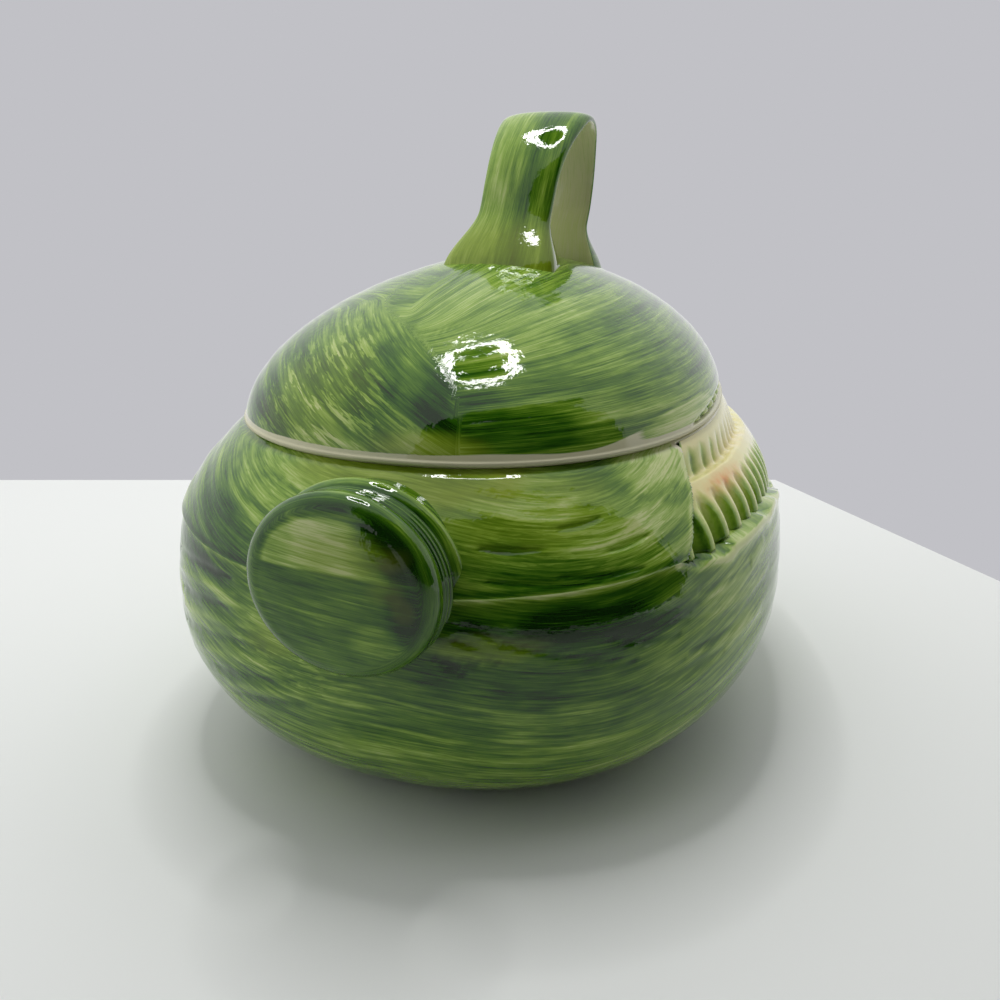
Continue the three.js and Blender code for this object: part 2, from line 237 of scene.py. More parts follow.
# Lattice noise, smooth and the same at each run
NOISE_SIZE = 256
noise_table = np.random.RandomState(7).rand(NOISE_SIZE, NOISE_SIZE)


def noise(u, v, seed=0):
    """Smooth noise from 0 to 1 with features one unit wide."""
    u = np.asarray(u, float) + 17.3 * seed
    v = np.asarray(v, float) + 9.7 * seed
    column, row = np.floor(u).astype(int), np.floor(v).astype(int)
    x, y = u - column, v - row
    x, y = x * x * (3 - 2 * x), y * y * (3 - 2 * y)

    def at(dx, dy):
        return noise_table[(column + dx) % NOISE_SIZE, (row + dy) % NOISE_SIZE]

    return blend(blend(at(0, 0), at(1, 0), x), blend(at(0, 1), at(1, 1), x), y)


# The part's own shapes. The openings here are deeper and longer than in its solids, the kernels fuller.
def outline(angle, inset, share=1.0):
    c, s = np.cos(angle), np.sin(angle)
    reach = (np.abs(c) ** PLAN_SQUARENESS + np.abs(s) ** PLAN_SQUARENESS) ** (-1 / PLAN_SQUARENESS)
    x = (BOWL_LENGTH / 2 - inset) * share * reach * c
    y = (BOWL_WIDTH / 2 - inset) * share * reach * s * (1 - TIP_TAPER * reach * c)
    return x, y


def side_reach(x, inset, share=1.0):
    along = x / ((BOWL_LENGTH / 2 - inset) * share)
    across = np.maximum(0, 1 - np.abs(along) ** PLAN_SQUARENESS) ** (1 / PLAN_SQUARENESS)
    return (BOWL_WIDTH / 2 - inset) * share * across * (1 - TIP_TAPER * along)


def wall_inset(z, bottom=0):
    down = np.clip((BELLY_HEIGHT - z) / (BELLY_HEIGHT - bottom), 0, 1)
    up = np.clip((z - BELLY_HEIGHT) / (RIM_HEIGHT - BELLY_HEIGHT), 0, None)
    low = FOOT_INSET * (1 - (1 - down**FOOT_ROUNDNESS) ** (1 / FOOT_ROUNDNESS))
    return np.where(z < BELLY_HEIGHT, low, SHOULDER_INSET * up**SHOULDER_ROUNDNESS)


def wall_slope(z):
    step = 0.01
    return (wall_inset(z + step) - wall_inset(z - step)) / (2 * step)


def leaf_edge(angle):
    dipped = 1 / (1 + np.exp((LEAF_DIP_PLACE - np.cos(angle)) / LEAF_DIP_SPREAD))
    return LEAF_EDGE_HEIGHT + LEAF_EDGE_RISE * np.sin(angle) ** 2 - LEAF_DIP * dipped


def wall_point(x, z, out, side):
    """A point on the bowl's wall on one side (-1 right, 1 left), moved out square to it."""
    slope = wall_slope(z)
    across = out / np.hypot(1, slope)
    return np.stack([x, side * side_reach(x, wall_inset(z) - across), z + across * slope], -1)


def lip_height(x):
    """Height of the lower leaf's edge below the opening, which is a little wavy."""
    x = np.clip(x, -125, 125)
    edge = leaf_edge(np.arctan2(side_reach(x, 0) / (BOWL_WIDTH / 2), x / (BOWL_LENGTH / 2)))
    lowered = LIP_DROP + LIP_WAVE * noise(x / LIP_WAVE_LENGTH, 0.5, 11)
    return edge - lowered * smooth(95, 86, np.abs(x - WINDOW_CENTRE))


def window_half(up):
    """Half the opening's length, at a share of its height."""
    return blend(WINDOW_LENGTH_LOW, WINDOW_LENGTH_HIGH, up**WINDOW_END_CURVE) / 2


def window_place(across, up):
    """A place in the opening from its shares along and up, a small margin inside its edges."""
    half = window_half(np.clip(up, 0, 1)) - WINDOW_MARGIN
    x = WINDOW_CENTRE + blend(-half, half, across)
    return x, blend(lip_height(x) + WINDOW_MARGIN, WINDOW_TOP - WINDOW_MARGIN, up)


def fullness(along, pitch):
    """1 on the middle of a kernel and 0 in the crease beside it."""
    share = along / pitch
    return 1 - np.abs(2 * (share - np.floor(share)) - 1) ** KERNEL_FULLNESS


def row_height(along, share, pitch, rise):
    crease = np.maximum(0, 1 - (share / CREASE_END) ** 2)
    hang = np.sqrt(np.clip((share - 0.05 * (1 - fullness(along, pitch))) / KERNEL_HANG, 0, 1))
    belly = KERNEL_WAIST + (1 - KERNEL_WAIST) * np.sin(np.pi * np.clip(share, 0, 1))
    return rise * hang * belly * (1 - crease * (1 - fullness(along, pitch)))


def corn_surface(x, up):
    """How far the cob and its kernels lie out from the husk's surface."""
    along = x - WINDOW_CENTRE
    depth = COB_DEPTH + COB_HOLLOW * np.maximum(0, 1 - (2 * along / WINDOW_LENGTH_LOW) ** 2)
    low_share = np.clip(up / CREST_END, 0, None)
    low = row_height(along, low_share, KERNEL_PITCH, KERNEL_RISE)
    high_share = np.clip((up - CREST_END) / (1 - CREST_END), 0, None)
    high = row_height(along, high_share, HIGH_KERNEL_PITCH, HIGH_KERNEL_RISE)
    under_lid = CORN_TOP_REACH * smooth(CORN_TOP_START, 1, up)
    crest = smooth(CREST_END - CREST_ROUND, CREST_END + CREST_ROUND, up)
    return blend(low, high, crest) + under_lid - depth


def dome_share(up):
    return (1 - np.clip(up, 0, 1) ** DOME_FLATNESS) ** (1 / DOME_ROUNDNESS)


def dome_point(x, z, out, side):
    share = dome_share(np.maximum(0, z - LID_BASE) / LID_RISE)
    return np.stack([x, side * (side_reach(x, SHOULDER_INSET, share) + out), z], -1)


# Where a point lies on the brush strokes: two lengths along the piece and one across the strokes, in
# millimetres. On the lid they run along the ear, but near the stalk those on the left climb to the left.
FLOW_RADIUS = 80
STROKE_SHIFT = 10
STROKE_CLIMB = 0.8
END_SPREAD = 34
LEFT_SPREAD = 12
LEFT_LEAN = 0.45
LEFT_CLIMB = 0.9


def lid_seam(x):
    """Place across the lid where the strokes on its left meet those on its right."""
    return -20 + 42 * smooth(-104, -50, x) - 22 * smooth(-40, 60, x)


def lid_flow(points):
    x, y, z = axes(points)
    height = z - LID_BASE
    spread = END_SPREAD * smooth(-60, -100, x)
    right = np.arctan2(height, np.hypot(np.maximum(STROKE_SHIFT - y, 0), spread))
    right = right + STROKE_CLIMB * height / LID_RISE
    left = -np.arctan2(height, np.hypot(np.maximum(y + 2 * STROKE_SHIFT, 0), spread + LEFT_SPREAD))
    left = blend(left, (LEFT_LEAN * y - LEFT_CLIMB * height) / FLOW_RADIUS, smooth(-10, -55, x))
    return np.stack([x, y, FLOW_RADIUS * np.where(y > lid_seam(x), left, right)], -1)


def perimeter(x, y):
    """Length along the bowl's side from the stalk, positive on the right."""
    fine = np.linspace(-np.pi, np.pi, 2001)
    px, py = outline(fine, 0)
    arc = np.concatenate([[0], np.cumsum(np.hypot(np.diff(px), np.diff(py)))])
    angle = np.arctan2(y / (BOWL_WIDTH / 2 * (1 - TIP_TAPER * x / (BOWL_LENGTH / 2))), x / (BOWL_LENGTH / 2))
    length = np.interp(angle, fine, arc)
    return np.where(length < arc[-1] / 2, length, length - arc[-1])


# How far the bowl's strokes rise, and between which lengths along its side
STROKE_RISES = [(24, -5, -135), (-12, -180, -350), (-6, 0, 60), (18, 65, 150)]


def bowl_flow(points):
    """Strokes run round the bowl, steeper on its left, and rise towards the opening on its right."""
    x, y, z = axes(points)
    s = perimeter(x, y)
    risen = sum(rise * smooth(start, end, s) for rise, start, end in STROKE_RISES)
    return np.stack([x, y, z - risen], -1)


def veins(s, t):
    """Relief of the husk from 0, in a groove, to 1."""
    t = t + 5 * (noise(s / 70, t / 40, 1) - 0.5)
    broad = noise(s / 60, t / 3.6, 2)
    fine = noise(s / 26, t / 1.7, 3)
    return 0.55 * broad + 0.45 * fine


def marks(s, t, lines, width):
    """1 on short curved marks, each given by its ends and their middle's sag, and 0 away from them."""
    total = np.zeros(s.shape)
    for s0, t0, s1, t1, sag in lines:
        run_s, run_t = s1 - s0, t1 - t0
        share = np.clip(((s - s0) * run_s + (t - t0) * run_t) / (run_s**2 + run_t**2), 0, 1)
        line_s = blend(s0, s1, share)
        line_t = blend(t0, t1, share) - 4 * sag * share * (1 - share)
        thick = width * (0.35 + 2.6 * share * (1 - share))
        total = np.maximum(total, hill(np.hypot(s - line_s, t - line_t), thick))
    return total


def patches(s, t, spots):
    """Sum of soft patches, each a place, its half sizes and how much lighter (or darker) it is."""
    total = np.zeros(s.shape)
    wobble = 0.5 * (noise(s / 9, t / 5, 21) - 0.5)
    for at_s, at_t, half_s, half_t, amount in spots:
        distance = np.hypot((s - at_s) / half_s, (t - at_t) / half_t) + wobble
        total += amount * smooth(1.35, 0.55, distance)
    return total


def normals_of(points):
    """Square to a grid of points whose columns close on themselves."""
    along = np.roll(points, -1, 1) - np.roll(points, 1, 1)
    up = np.gradient(points, axis=0)
    out = np.cross(along, up)
    return out / np.maximum(np.linalg.norm(out, axis=-1, keepdims=True), 1e-9)


def grid_faces(rows, columns, closed):
    """Quads over a grid of points in rows, whose last column joins the first when it is closed."""
    j, i = np.meshgrid(np.arange(rows - 1), np.arange(columns if closed else columns - 1), indexing="ij")
    a = j * columns + i
    b = j * columns + (i + 1) % columns
    return np.stack([a, b, b + columns, a + columns], -1).reshape(-1, 4)


def make(name, points, faces, body, nodes, materials, values, slots=None):
    """A piece from points in the plan's frame, its quads and poles' triangles, and its per-point values."""
    mesh = bpy.data.meshes.new(name)
    placed = (points + [PLAN_SHIFT, 0, 0]) * MM
    mesh.from_pydata(placed.tolist(), [], [list(f) for f in faces])
    plain = {key: np.zeros(len(points)) for key in ("shade", "bare", "fleck", "pool")}
    values = {**plain, "vein": np.full(len(points), 0.5), **values, "spot": points}
    for key, value in values.items():
        kind = "FLOAT_VECTOR" if value.ndim == 2 else "FLOAT"
        layer = mesh.attributes.new(key, kind, "POINT")
        layer.data.foreach_set("vector" if value.ndim == 2 else "value", value.astype(np.float32).ravel())
    for material in materials:
        mesh.materials.append(material)
    if slots is not None:
        mesh.polygons.foreach_set("material_index", slots)
    mesh.polygons.foreach_set("use_smooth", [True] * len(mesh.polygons))
    mesh.update()
    piece = bpy.data.objects.new(name, mesh)
    bpy.context.scene.collection.objects.link(piece)
    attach(piece, body)
    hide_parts(*nodes)


def closed_loft(rows):
    """Points and faces of rings of points, with a pole in the middle of the first and the last ring."""
    grid = np.stack(rows)
    count, columns = grid.shape[:2]
    points = np.concatenate([grid.reshape(-1, 3), grid[0].mean(0)[None], grid[-1].mean(0)[None]])
    faces = [tuple(f) for f in grid_faces(count, columns, True)]
    first, last = count * columns, count * columns + 1
    top = (count - 1) * columns
    for i in range(columns):
        faces.append(((i + 1) % columns, i, first))
        faces.append((top + i, top + (i + 1) % columns, last))
    return points, faces


# Materials
IOR = 1.5
HUSK_ROUGHNESS = 0.05
GLOSS_ROUGHNESS = 0.08
CLAY_ROUGHNESS = 0.55


def linear(red, green, blue):
    """A colour given in sRGB from 0 to 255, as the shader wants it."""
    value = np.array([red, green, blue]) / 255
    value = np.where(value <= 0.04045, value / 12.92, ((value + 0.055) / 1.055) ** 2.4)
    return (*value, 1)


DEEP = linear(14, 46, 1)
DARK = linear(40, 86, 6)
MIDDLE = linear(82, 122, 24)
LIGHT = linear(130, 163, 55)
PALE = linear(164, 188, 98)
THIN = linear(196, 206, 140)
CREAM = linear(226, 222, 182)
CLAY = linear(208, 205, 170)
OLIVE = linear(140, 152, 28)
ORANGE = linear(226, 150, 78)

# From where the glaze lies thick, at 0, to where it is thin, at 1. The shades below are steps of it.
# The value that picks a step also carries the pieces' painted shade, painted light and painted reflection.
HUSK_RAMP = [(0.0, DEEP), (0.22, DARK), (0.46, MIDDLE), (0.68, LIGHT), (0.86, PALE), (1.0, THIN)]

# From bare cream, at 0, to the green that lies in the creases, at 1, whose dark end also serves for painted
# shade on the kernels
CORN_RAMP = [
    (0.0, linear(228, 224, 160)), (0.3, linear(190, 206, 112)), (0.6, linear(134, 172, 50)),
    (0.85, linear(74, 118, 20)), (1.0, linear(34, 70, 6)),
]


def socket(tree, kind, inputs=None, **settings):
    """A new node with its settings, and its inputs either linked or set."""
    node = tree.nodes.new(kind)
    for key, value in settings.items():
        setattr(node, key, value)
    for key, value in (inputs or {}).items():
        if isinstance(value, bpy.types.NodeSocket):
            tree.links.new(value, node.inputs[key])
        else:
            node.inputs[key].default_value = value
    return node


def new_material(name):
    material = bpy.data.materials.new(name)
    material.use_nodes = True
    return material, material.node_tree, material.node_tree.nodes["Principled BSDF"]


def maths(tree, operation, a, b=0.0, c=0.0):
    return socket(tree, "ShaderNodeMath", {0: a, 1: b, 2: c}, operation=operation).outputs[0]


def attribute(tree, name, output="Fac"):
    return socket(tree, "ShaderNodeAttribute", attribute_name=name).outputs[output]


def between(tree, value, low, high):
    """0 below low, 1 above high."""
    return socket(tree, "ShaderNodeMapRange", {"Value": value, "From Min": low, "From Max": high}).outputs[0]


def bumps(tree, shader, height, strength, distance):
    bump = socket(tree, "ShaderNodeBump", {"Height": height, "Strength": strength, "Distance": distance})
    tree.links.new(bump.outputs[0], shader.inputs["Normal"])


def streaks(tree, place, along, across, detail=3.0, rough=0.6, warp=0.0):
    """Noise drawn out along the strokes: along and across are the sizes of its features in millimetres."""
    scale = (1 / along, 1 / along, 1 / across)
    scaled = socket(tree, "ShaderNodeVectorMath", {0: place, 1: scale}, operation="MULTIPLY")
    inputs = {"Vector": scaled.outputs[0], "Scale": 1.0, "Detail": detail, "Roughness": rough,
              "Distortion": warp}
    return socket(tree, "ShaderNodeTexNoise", inputs).outputs["Fac"]


def ramp(tree, value, stops):
    node = socket(tree, "ShaderNodeValToRGB", {"Fac": value})
    elements = node.color_ramp.elements
    while len(elements) < len(stops):
        elements.new(0.5)
    for element, (place, colour) in zip(elements, stops):
        element.position = place
        element.color = colour
    return node.outputs["Color"]


def mix(tree, share, first, second):
    node = socket(tree, "ShaderNodeMix", data_type="RGBA")
    for key, value in (("Factor", share), ("A", first), ("B", second)):
        target = [i for i in node.inputs if i.name == key and i.enabled][0]
        if isinstance(value, bpy.types.NodeSocket):
            tree.links.new(value, target)
        else:
            target.default_value = value
    return [o for o in node.outputs if o.enabled][0]


def glaze(name, contrast=1.0):
    """Green glaze brushed along the strokes over pale clay. shade lightens it, and in places carries painted
    shade, painted light and painted reflection, fleck adds crisp light marks, pool turns it olive and bare
    uncovers the clay."""
    material, tree, shader = new_material(name)
    place = attribute(tree, "flow", "Vector")
    broad = streaks(tree, place, 60, 7, 3, 0.55, 0.4)
    strokes = streaks(tree, place, 30, 1.5, 4, 0.62, 0.3)
    bristles = streaks(tree, place, 14, 0.5, 3, 0.7, 0.2)
    clouds = streaks(tree, place, 24, 18, 3, 0.6)
    dabs = streaks(tree, place, 11, 1.2, 3, 0.6, 0.5)
    value = 0.3
    for part, amount in ((broad, 0.5), (strokes, 1.0), (bristles, 0.9), (clouds, 0.5)):
        weighed = maths(tree, "MULTIPLY_ADD", part, amount * contrast, -amount * contrast / 2)
        value = maths(tree, "ADD", value, weighed)
    value = maths(tree, "MULTIPLY_ADD", attribute(tree, "vein"), 0.4, value)
    value = maths(tree, "ADD", value, attribute(tree, "shade"))
    value = maths(tree, "MULTIPLY_ADD", between(tree, dabs, 0.52, 0.57), attribute(tree, "fleck"), value)
    colour = ramp(tree, value, HUSK_RAMP)
    colour = mix(tree, maths(tree, "MULTIPLY", attribute(tree, "pool"), 0.85), colour, OLIVE)
    edge = maths(tree, "MULTIPLY_ADD", bristles, 0.5, maths(tree, "SUBTRACT", attribute(tree, "bare"), 0.25))
    colour = mix(tree, between(tree, edge, 0.35, 0.65), colour, CLAY)
    tree.links.new(colour, shader.inputs["Base Color"])
    shader.inputs["Roughness"].default_value = HUSK_ROUGHNESS
    shader.inputs["IOR"].default_value = IOR
    peel = streaks(tree, attribute(tree, "spot", "Vector"), 2.4, 2.4, 2, 0.5)
    height = maths(tree, "MULTIPLY_ADD", strokes, 0.12, maths(tree, "MULTIPLY", bristles, 0.05))
    bumps(tree, shader, maths(tree, "MULTIPLY_ADD", peel, 1.0, height), 0.38, 0.0002)
    return material


def corn_glaze(name):
    """Cream glaze; green pools in the creases and also lays painted shade on the kernels, and blush tints it
    orange.
    """
    material, tree, shader = new_material(name)
    place = attribute(tree, "spot", "Vector")
    clouds = streaks(tree, place, 6, 6, 3, 0.6)
    fine = streaks(tree, place, 1.6, 1.6, 3, 0.7)
    pool = maths(tree, "MULTIPLY_ADD", clouds, 0.5, attribute(tree, "green"))
    pool = maths(tree, "MULTIPLY_ADD", fine, 0.25, maths(tree, "ADD", pool, -0.375))
    colour = ramp(tree, pool, CORN_RAMP)
    blush = maths(tree, "MULTIPLY", attribute(tree, "blush"), maths(tree, "MULTIPLY_ADD", clouds, 1.6, -0.3))
    tree.links.new(mix(tree, blush, colour, ORANGE), shader.inputs["Base Color"])
    shader.inputs["Roughness"].default_value = GLOSS_ROUGHNESS
    shader.inputs["IOR"].default_value = IOR
    bumps(tree, shader, fine, 0.3, 0.0001)
    return material


def plain_glaze(name, colour, roughness):
    """One glaze or clay with soft cloudy tints."""
    material, tree, shader = new_material(name)
    place = attribute(tree, "spot", "Vector")
    darker = tuple(c * 0.82 for c in colour[:3]) + (1,)
    tint = mix(tree, streaks(tree, place, 14, 9, 3, 0.6), colour, darker)
    tree.links.new(tint, shader.inputs["Base Color"])
    shader.inputs["Roughness"].default_value = roughness
    bumps(tree, shader, streaks(tree, place, 2, 2), 0.2, 0.0002)
    return material


husk_glaze = glaze("husk_glaze")
stalk_glaze = glaze("stalk_glaze", 0.95)
handle_glaze = glaze("handle_glaze", 0.8)
kernel_glaze = corn_glaze("kernel_glaze")
inside_glaze = plain_glaze("inside_glaze", CREAM, GLOSS_ROUGHNESS)
bare_clay = plain_glaze("bare_clay", CLAY, CLAY_ROUGHNESS)

# Places of the materials on the bowl and the lid, which have all three
GLAZED, INSIDE, BARE = 0, 1, 2
shell_materials = [husk_glaze, inside_glaze, bare_clay]


def shell_values(points, painted, own):
    """Per-point values of a whole shell from those of its painted outside, which own picks out."""
    values = {}
    for key, value in painted.items():
        values[key] = np.full(len(points), 0.5 if key == "vein" else 0.0)
        values[key][own] = value.ravel()
    return values


# Bowl
SIDE_START = 0.3


def long_side(angle):
    """True along the ear's sides and False round its ends."""
    return np.abs(np.sin(angle)) > SIDE_START


def bowl_angles():
    """Angles round the plan, closest together at the ends of the openings, where the edges are crisp."""
    fine = np.linspace(-np.pi, np.pi, 4001)
    x, _ = outline(fine, 0)
    crowded = hill(np.abs(np.abs(x - WINDOW_CENTRE) - CROWD_PLACE), CROWD_SPREAD) * long_side(fine)
    density = 1 + CROWDING * crowded
    total = np.concatenate([[0], np.cumsum((density[1:] + density[:-1]) / 2)])
    return np.interp(np.arange(COLUMNS) / COLUMNS * total[-1], total, fine)


def ring(angle, inset, z, share=1.0):
    x, y = outline(angle, inset, share)
    return np.stack([x, y, np.broadcast_to(z, x.shape)], -1)


def window_places(x, z):
    """How far a place lies inside the openings, from their near and long edges and from their far end."""
    low = lip_height(x)
    half = window_half(np.clip((z - low) / (WINDOW_TOP - low), 0, 1))
    along = x - WINDOW_CENTRE
    return np.minimum(np.minimum(half + along, z - low), WINDOW_TOP - z), half - along


# Lighter and darker patches: length along the side, height, half sizes and amount. They are partly the
# glaze's own tone and partly painted shade and painted reflection, as on the darker front of the lower belly.
BOWL_PATCHES = [
    (25, 103, 40, 8, 0.16), (101, 104, 20, 6, 0.36), (99, 97.5, 6, 3, -0.2), (69, 70, 34, 5, -0.25),
    (50, 62, 50, 12, -0.2), (39, 45, 60, 12, -0.12), (30, 34, 50, 7, 0.06), (-60, 84, 20, 20, -0.2),
    (-42, 100, 22, 6, 0.14), (-24, 60, 16, 10, 0.1), (122, 60, 26, 16, 0.05), (84, 92, 26, 9, 0.16),
    (-120, 70, 40, 20, -0.1), (190, 60, 60, 20, -0.12), (300, 70, 60, 25, 0.08), (-210, 60, 70, 22, 0.06),
]
BOWL_POOLS = [(10, 104, 40, 5, 0.5), (50, 97, 30, 9, 0.25), (36, 65, 14, 4, 0.3), (-26, 60, 10, 5, 0.25)]
BOWL_FLECKS = [(-20, 55, 26, 9, 0.22), (95, 98, 22, 10, 0.12), (60, 90, 30, 10, 0.1), (-45, 100, 18, 6, 0.1)]

# Cuts and ridges in the husk: length along the side and height of both ends, and the sag between them
BOWL_CUTS = [
    (38, 68, 78, 58, 0.5), (70, 65.5, 92, 62, 0.6), (22, 64, 27, 59.5, 0.2), (25, 63.5, 30, 58, 0.2),
    (28, 68, 35, 66, 0.2), (30, 63, 35, 60.5, 0.2), (35, 63.5, 40, 61, 0.2), (36, 83, 68, 81.5, 0.4),
    (55, 83.5, 80, 83, 0.6), (34, 90.5, 52, 90, 0.3), (70, 88, 84, 90, 0.3), (56, 94, 70, 95.5, 0.3),
    (100, 72, 128, 72, 0.4), (96, 56, 124, 58, 0.4), (84, 50, 112, 51, 0.4), (-34, 66, -80, 60, -0.6),
    (-30, 57, -84, 48, -0.6), (-18, 49, -60, 41, -0.4), (-12, 43, -48, 35, -0.4), (-44, 74, -90, 70, -0.6),
]
BOWL_RIDGES = [
    (100, 70, 142, 75, 0.8), (96, 65, 146, 66, 1.0), (95, 54, 138, 56, 0.8), (-32, 62, -82, 54, -0.6),
    (-24, 53, -70, 45, -0.6), (-40, 70, -88, 65, -0.6), (-14, 46, -52, 38, -0.4),
]


def husk_rows(angle, edge):
    """The bowl's outside: the lower leaf, the step at its edge and the upper leaf."""
    rows = []
    for row in range(LOW_ROWS + 1):
        share = 1 - (1 - row / LOW_ROWS) ** LOW_ROW_CROWDING
        z = edge * (1 - np.cos(share * (np.pi / 2)))
        rows.append(ring(angle, wall_inset(z), z))
    for row in range(STEP_ROWS + 1):
        turn = (row / STEP_ROWS) * (np.pi / 2)
        z = edge + LEAF_LAP * (1 - np.cos(turn)) * 0.9 + 0.05
        rows.append(ring(angle, wall_inset(z) - LEAF_STEP * np.sin(turn), z))
    for row in range(1, HIGH_ROWS + 1):
        up = row / HIGH_ROWS
        z = blend(edge + LEAF_LAP, WALL_TOP, up)
        rows.append(ring(angle, wall_inset(z) - LEAF_STEP * (1 - up), z))
    return np.stack(rows)


def rim_and_inside(angle):
    """Rings over the bowl's rim, through its mouth and down its inside to the floor."""
    rings = []
    for turn in np.linspace(0, np.pi / 2, RIM_ROWS + 1)[1:]:
        inset = SHOULDER_INSET + RIM_EDGE * (1 - np.cos(turn))
        rings.append(ring(angle, inset, WALL_TOP + RIM_EDGE * np.sin(turn)))
    rings.append(ring(angle, MOUTH_INSET - MOUTH_BEVEL, RIM_HEIGHT))
    rings.append(ring(angle, MOUTH_INSET, RIM_HEIGHT - MOUTH_DROP))
    for row in range(1, INSIDE_ROWS + 1):
        outer = blend(WALL_TOP, BELLY_HEIGHT, row / INSIDE_ROWS)
        across = BOWL_WALL / np.hypot(1, wall_slope(outer))
        inset = np.minimum(wall_inset(outer) + across, MOUTH_INSET)
        rings.append(ring(angle, inset, outer - across * wall_slope(outer)))
    for row in range(1, INSIDE_ROWS + 1):
        z = blend(BELLY_HEIGHT, FLOOR_THICKNESS, math.sin((row / INSIDE_ROWS) * (math.pi / 2)))
        rings.append(ring(angle, wall_inset(z, FLOOR_THICKNESS) + BOWL_WALL, z))
    rings.append(ring(angle, FOOT_INSET + BOWL_WALL, FLOOR_THICKNESS, share=0.5))
    return rings


def foot_rings(angle):
    """Rings from the middle of the underside's recess out to the land that the bowl stands on."""
    inner = FOOT_INSET + FOOT_LAND + FOOT_RECESS
    return [ring(angle, inner, FOOT_RECESS, share=0.5), ring(angle, inner, FOOT_RECESS),
            ring(angle, FOOT_INSET + FOOT_LAND, 0)]


def bowl_piece():
    angle = bowl_angles()
    edge = leaf_edge(angle)
    plain = husk_rows(angle, edge)
    x, y, height = axes(plain)
    s = perimeter(x, y)
    relief = blend(0.5, veins(s, axes(bowl_flow(plain))[2]), smooth(366, 340, np.abs(s)))
    carved = marks(s, height, BOWL_CUTS, CUT_WIDTH)
    raised = marks(s, height, BOWL_RIDGES, RIDGE_WIDTH)
    lip = hill(height - (lip_height(x) - 1.5), 1.8)
    lip = lip * smooth(90, 80, np.abs(x - WINDOW_CENTRE)) * long_side(angle)
    inner, far = window_places(x, height)
    window = smooth(-0.1, 0.5, inner) * smooth(-16, 1, far)

    # Relief, which fades out at the foot and the rim, and the openings' hollows
    fade = smooth(4, 30, height) * (1 - smooth(WALL_TOP - 5, WALL_TOP, height)) * (1 - window)
    rough = 0.45 + 0.45 * smooth(90, 130, np.abs(s)) + 0.3 * smooth(-20, -50, s) * smooth(75, 60, height)
    moved = ((relief - 0.5) * rough - HUSK_SINK - CUT_DEPTH * carved + RIDGE_RISE * raised) * fade
    moved = moved + LIP_RISE * lip * (1 - window)
    deep = wall_inset(height) + WINDOW_DEPTH * np.hypot(1, wall_slope(height))
    deepest = MOUTH_INSET - MOUTH_BEVEL - WINDOW_SLANT * (RIM_HEIGHT - height)
    hollow = ring(angle, np.minimum(deep, deepest), height)
    husk = blend(plain + normals_of(plain) * moved[..., None], hollow, window[..., None])

    # Light and dark lines along the openings' edges and the leaves' seam, and clay above the kernels. The
    # dark line just inside the openings' edges is painted shade in the gap beside the kernels.
    x = axes(husk)[0]
    seam = height - edge
    light = patches(s, height, BOWL_PATCHES) - 0.3 * carved + 0.2 * raised
    light = light + 0.6 * lip + 0.3 * hill(inner + 1.3, 0.8)
    # Painted shade: a dark line just inside the openings' edges, in the gap between the husk and the kernels
    light = light - 0.4 * hill(inner - 0.1, 0.4) * (height < WALL_TOP - 4)
    lines = 0.42 * hill(seam + 0.2, 0.9) - 0.25 * hill(seam - 1.9, 0.8) - 0.24 * hill(seam + 4.5, 3.5)
    light = light + smooth(-40, -75, x) * lines
    crown = smooth(RIM_HEIGHT - 4, RIM_HEIGHT - 2.5, height) * smooth(68, 63, np.abs(x - WINDOW_CENTRE))
    painted = {"vein": relief, "shade": light, "pool": patches(s, height, BOWL_POOLS),
               "fleck": patches(s, height, BOWL_FLECKS), "bare": crown * long_side(angle)}

    foot = foot_rings(angle)
    grid = foot + list(husk) + rim_and_inside(angle)
    points, faces = closed_loft(grid)
    own = slice(len(foot) * COLUMNS, (len(foot) + len(husk)) * COLUMNS)
    values = {"flow": bowl_flow(points), **shell_values(points, painted, own)}
    for key, value in painted.items():
        values[key][own.stop:own.stop + 3 * COLUMNS] = np.tile(value[-1], 3)
    row_of = np.arange(len(grid) - 1).repeat(COLUMNS)
    slots = np.where(row_of < len(foot) + len(husk) + 2, GLAZED, INSIDE)
    slots = np.where(row_of < len(foot), BARE, slots)
    slots = np.concatenate([slots, np.tile([BARE, INSIDE], COLUMNS)])
    make("husk_bowl", points, faces, "bowl", ["bowl"], shell_materials, values, slots)


bowl_piece()


# Kernels
def side_faces(shape, side):
    """Quads that look outwards on one side (-1 right, 1 left)."""
    faces = grid_faces(*shape, False)
    return faces[:, ::-1] if side > 0 else faces


